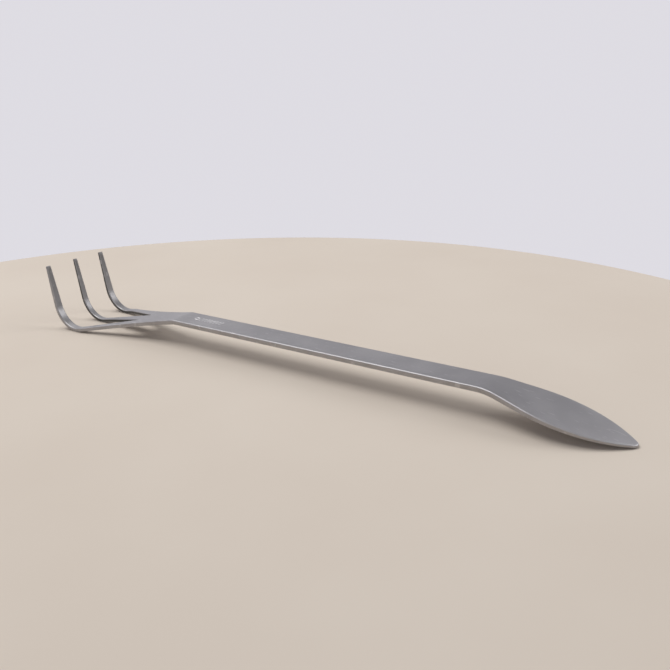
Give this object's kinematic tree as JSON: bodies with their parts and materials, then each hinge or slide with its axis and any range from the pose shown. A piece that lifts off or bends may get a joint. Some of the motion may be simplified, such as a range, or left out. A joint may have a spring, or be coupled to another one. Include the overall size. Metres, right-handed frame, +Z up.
{
  "type": "bonsai root rake",
  "caption": "One-piece stainless root rake: upturned tapering tines at one end of a flat bar handle, a leaf-shaped spatula at the other.",
  "frame": {"origin": "on the surface that the tool rests on, under the middle of its overall box", "axes": "+X along the handle towards the spatula, with the tines at -X; +Z up, the way the tines point; +Y across the handle"},
  "size_m": [0.22, 0.0282, 0.0244],
  "materials": {
    "satin_steel": "fine satin ground, slightly matte, with the ground edges a little brighter"
  },
  "bodies": {
    "root": {"root_rake": "satin_steel"}
  },
  "joints": []
}
